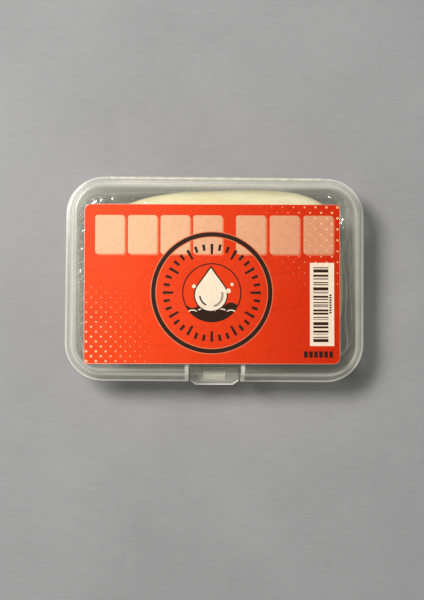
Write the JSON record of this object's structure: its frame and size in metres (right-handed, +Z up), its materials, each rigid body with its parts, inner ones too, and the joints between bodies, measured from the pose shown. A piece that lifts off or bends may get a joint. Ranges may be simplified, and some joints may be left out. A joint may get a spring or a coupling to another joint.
{
  "type": "detailing clay in a hinged case",
  "caption": "Slab of detailing clay wrapped in clear film inside a clear hinged snap-lid case with a printed label, for cleaning car paint.",
  "frame": {"origin": "centre of the case's flat underside, midway between the flange's ends and sides", "axes": "+X along the case's length, -Y towards the latch, +Y towards the hinge, +Z up through the lid"},
  "size_m": [0.095, 0.0663, 0.022],
  "materials": {
    "case_plastic": "satin",
    "label_print": "satin",
    "clay": "matte",
    "wrap_film": "gloss"
  },
  "bodies": {
    "base": {"base_tray": "case_plastic", "latch_catch": "case_plastic", "hinge_web": "case_plastic", "clay_slab": "clay", "film_sleeve": "wrap_film", "film_fold_left": "wrap_film", "film_fold_right": "wrap_film"},
    "lid": {"lid_shell": "case_plastic", "hinge_leaf": "case_plastic", "guard_rib_left": "case_plastic", "guard_rib_right": "case_plastic", "label": "label_print"},
    "latch": {"latch_tab": "case_plastic"}
  },
  "joints": [
    {"name": "lid_hinge", "type": "hinge", "parent": "base", "child": "lid", "pos_m": [0, 0.03255, 0.01303], "axis": [-1, 0, 0], "range_deg": [0, 180]},
    {"name": "latch_flex", "type": "hinge", "parent": "lid", "child": "latch", "pos_m": [0, -0.02865, 0.01365], "axis": [-1, 0, 0], "range_deg": [0, 12], "stiffness_Nm_per_rad": 0.02}
  ]
}
